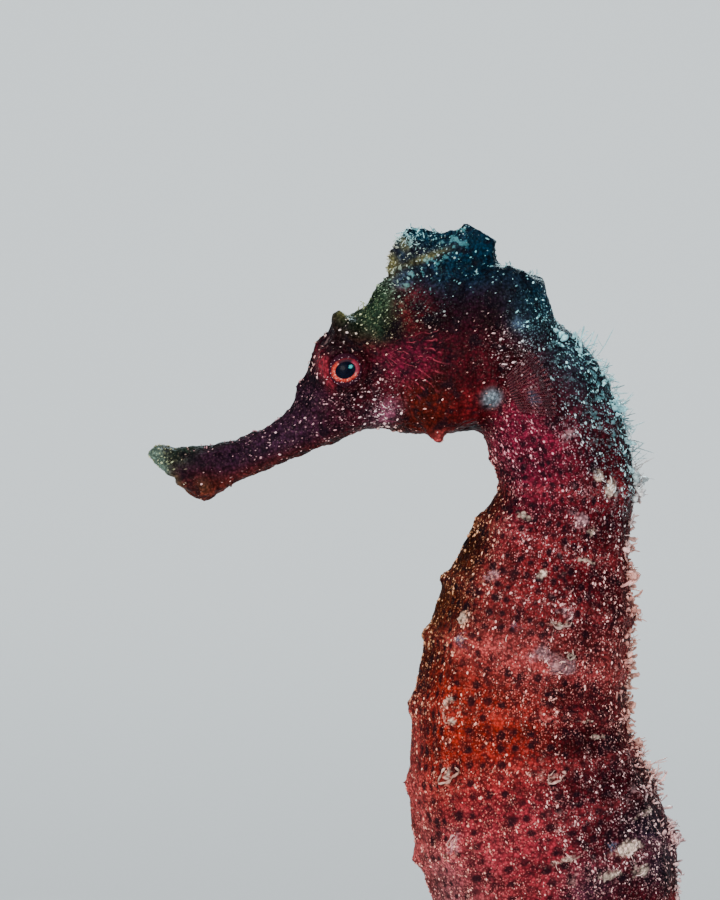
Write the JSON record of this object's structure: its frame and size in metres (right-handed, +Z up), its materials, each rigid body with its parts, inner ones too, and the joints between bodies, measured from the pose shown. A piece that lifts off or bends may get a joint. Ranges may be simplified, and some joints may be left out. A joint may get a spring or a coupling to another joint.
{
  "type": "longsnout seahorse model on a display stand",
  "caption": "Life-size still model of a longsnout seahorse, head bent to its left profile, tail curled forward, on a small round display stand.",
  "frame": {"origin": "centre of the underside of the stand's base", "axes": "+Z up, the animal faces -X, its left side faces -Y"},
  "size_m": [0.0644, 0.06, 0.1382],
  "materials": {
    "flesh": "granular maroon skin with small glossy pale specks",
    "crown": "dark granular skin with a cream rim",
    "snout": "dark purple-black skin, paler at the lip",
    "eye": "wet glossy eye with a coral ring",
    "fin": "thin translucent rayed fin",
    "stand": "black-stained wood, satin",
    "metal": "brushed brass"
  },
  "bodies": {
    "root": {"head": "flesh", "snout": "snout", "lower_jaw": "flesh", "gill_cover_left": "flesh", "gill_cover_right": "flesh", "eye_left": "eye", "eye_right": "eye", "coronet": "crown", "neck": "flesh", "trunk_upper": "flesh", "trunk_middle": "flesh", "trunk_lower": "flesh", "tail_1": "flesh", "tail_2": "flesh", "tail_3": "flesh", "tail_4": "flesh", "tail_5": "flesh", "tail_6": "flesh", "dorsal_fin": "fin", "anal_fin": "fin", "pectoral_fin_left": "fin", "pectoral_fin_right": "fin", "stand_base": "stand", "stand_rod": "metal", "stand_cradle": "metal"}
  },
  "joints": []
}
